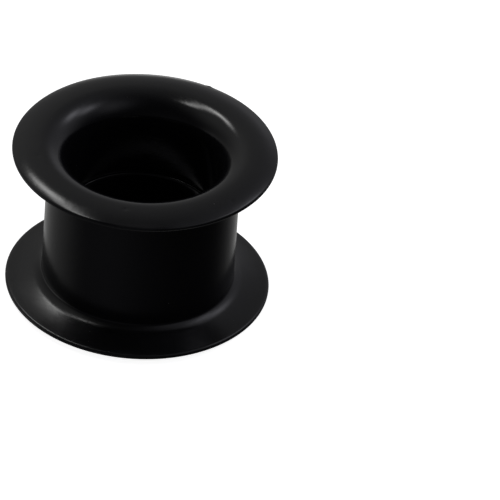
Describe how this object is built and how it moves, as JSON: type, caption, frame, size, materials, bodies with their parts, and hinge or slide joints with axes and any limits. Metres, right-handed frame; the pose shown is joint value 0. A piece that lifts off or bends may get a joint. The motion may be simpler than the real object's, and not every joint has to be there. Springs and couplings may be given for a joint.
{
  "type": "ear tunnel",
  "caption": "Flexible silicone ear tunnel with a round through bore and a thin flared flange at each end of its short barrel.",
  "frame": {"origin": "middle of the ring that the lower flange stands on", "axes": "+Z along the tunnel's axis, up through the bore; the part is round about Z and the same both ways up"},
  "size_m": [0.0192, 0.0192, 0.0125],
  "materials": {
    "silicone": "satin moulded black silicone"
  },
  "bodies": {
    "root": {"tunnel": "silicone"}
  },
  "joints": []
}
